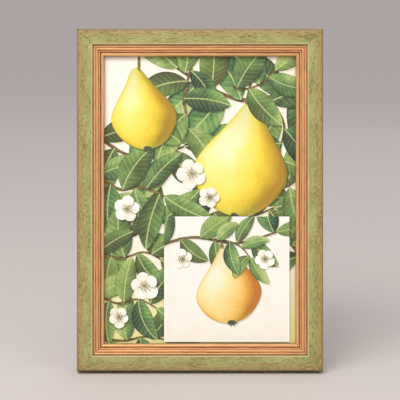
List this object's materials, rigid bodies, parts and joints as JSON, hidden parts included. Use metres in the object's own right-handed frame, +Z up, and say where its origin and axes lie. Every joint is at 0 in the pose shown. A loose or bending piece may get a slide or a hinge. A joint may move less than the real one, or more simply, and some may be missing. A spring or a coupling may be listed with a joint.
{
  "type": "framed botanical picture",
  "caption": "Upright framed picture in a sage-painted timber moulding with a copper-gilt slip, a raised square card on the print, and a hinged easel strut behind.",
  "frame": {"origin": "on the surface that the picture stands on, under the middle of the whole object's box", "axes": "+Z up, the picture faces -Y and leans back towards +Y, +X to the viewer's right"},
  "size_m": [0.2488, 0.099, 0.344],
  "materials": {
    "sage_paint": "matt distressed sage paint over a tan ground, rubbed through along the outer edge",
    "copper_leaf": "rubbed copper-gilt leaf over a red-brown ground",
    "art_paper": "satin printed art paper",
    "card_stock": "matt printed card with white cut edges",
    "grey_board": "plain grey mount board",
    "hardboard": "smooth brown hardboard",
    "black_board": "board covered in black grained paper",
    "zinc_steel": "zinc-plated pressed steel",
    "brass_plate": "brass-plated pressed steel",
    "white_foam": "double-sided foam tape",
    "felt_pad": "brown felt"
  },
  "bodies": {
    "frame": {"rail_bottom": "sage_paint", "rail_right": "sage_paint", "rail_top": "sage_paint", "rail_left": "sage_paint", "slip_bottom": "copper_leaf", "slip_right": "copper_leaf", "slip_top": "copper_leaf", "slip_left": "copper_leaf", "v_nail_bottom_left": "zinc_steel", "v_nail_bottom_right": "zinc_steel", "v_nail_top_right": "zinc_steel", "v_nail_top_left": "zinc_steel", "point_bottom_1": "zinc_steel", "point_bottom_2": "zinc_steel", "point_right_1": "zinc_steel", "point_right_2": "zinc_steel", "point_right_3": "zinc_steel", "point_top_1": "zinc_steel", "point_top_2": "zinc_steel", "point_left_1": "zinc_steel", "point_left_2": "zinc_steel", "point_left_3": "zinc_steel", "print_sheet": "art_paper", "mount_board": "grey_board", "raised_card": "card_stock", "foam_pad_lower_left": "white_foam", "foam_pad_lower_right": "white_foam", "foam_pad_upper_left": "white_foam", "foam_pad_upper_right": "white_foam", "back_panel": "hardboard", "hinge_block": "hardboard", "hinge_fixed_leaf": "zinc_steel", "hinge_pin": "zinc_steel", "hinge_screw_1": "zinc_steel", "hinge_screw_2": "zinc_steel", "sawtooth_hanger": "brass_plate", "hanger_nail_1": "brass_plate", "hanger_nail_2": "brass_plate", "bumper_left": "felt_pad", "bumper_right": "felt_pad"},
    "strut": {"strut": "black_board", "hinge_strut_leaf": "zinc_steel", "strut_rivet_1": "zinc_steel", "strut_rivet_2": "zinc_steel"}
  },
  "joints": [
    {"name": "strut_hinge", "type": "hinge", "parent": "frame", "child": "strut", "pos_m": [0, 0.01054, 0.2324], "axis": [1, 0, 0], "range_deg": [-18, 0]}
  ]
}
